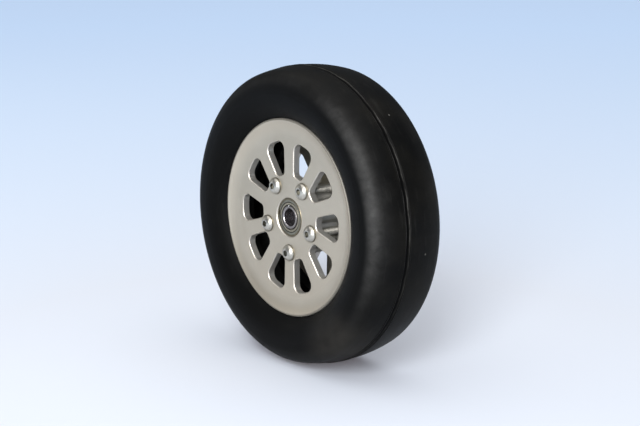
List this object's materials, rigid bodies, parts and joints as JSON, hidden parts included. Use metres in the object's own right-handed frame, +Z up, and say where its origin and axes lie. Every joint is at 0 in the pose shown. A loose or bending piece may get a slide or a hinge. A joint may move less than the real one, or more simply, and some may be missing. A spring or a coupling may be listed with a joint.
{
  "type": "aircraft wheel",
  "caption": "Small aircraft main wheel: a smooth hollow tyre clamped between slotted alloy hub halves, turning on shielded ball bearings.",
  "frame": {"origin": "the wheel's centre, on its axle line, midway between the two hub faces", "axes": "+Y is the spin axis, away from the screw heads; +Z is up; a spoke points to -Z"},
  "size_m": [0.1007, 0.0302, 0.1008],
  "materials": {
    "tyre": "dull black rubber",
    "hub_metal": "fine matt, warm silver",
    "screw_steel": "bright, plain",
    "bearing_steel": "ground",
    "shield_steel": "pressed, satin",
    "spring_steel": "satin",
    "ball_steel": "polished",
    "cage_plastic": "moulded, natural",
    "spacer_metal": "turned"
  },
  "bodies": {
    "axle_side": {"front_bearing_inner_ring": "bearing_steel", "rear_bearing_inner_ring": "bearing_steel", "bearing_spacer": "spacer_metal"},
    "wheel": {"tyre": "tyre", "hub_front": "hub_metal", "hub_rear": "hub_metal", "clamp_screws": "screw_steel", "front_bearing_outer_ring": "bearing_steel", "front_bearing_outer_shield": "shield_steel", "front_bearing_inner_shield": "shield_steel", "front_bearing_outer_snap_ring": "spring_steel", "front_bearing_inner_snap_ring": "spring_steel", "rear_bearing_outer_ring": "bearing_steel", "rear_bearing_outer_shield": "shield_steel", "rear_bearing_inner_shield": "shield_steel", "rear_bearing_outer_snap_ring": "spring_steel", "rear_bearing_inner_snap_ring": "spring_steel"},
    "front_ball_set": {"front_bearing_balls": "ball_steel", "front_bearing_cage": "cage_plastic"},
    "rear_ball_set": {"rear_bearing_balls": "ball_steel", "rear_bearing_cage": "cage_plastic"}
  },
  "joints": [
    {"name": "wheel_spin", "type": "hinge", "parent": "axle_side", "child": "wheel", "pos_m": [0, 0, 0], "axis": [0, 1, 0], "continuous": true},
    {"name": "front_ball_orbit", "type": "hinge", "parent": "axle_side", "child": "front_ball_set", "pos_m": [0, -0.00775, 0], "axis": [0, 1, 0], "continuous": true},
    {"name": "rear_ball_orbit", "type": "hinge", "parent": "axle_side", "child": "rear_ball_set", "pos_m": [0, 0.00775, 0], "axis": [0, 1, 0], "continuous": true}
  ],
  "couplings": [
    {"joint": "front_ball_orbit", "follows": "wheel_spin", "ratio": 0.60638},
    {"joint": "rear_ball_orbit", "follows": "wheel_spin", "ratio": 0.60638}
  ]
}
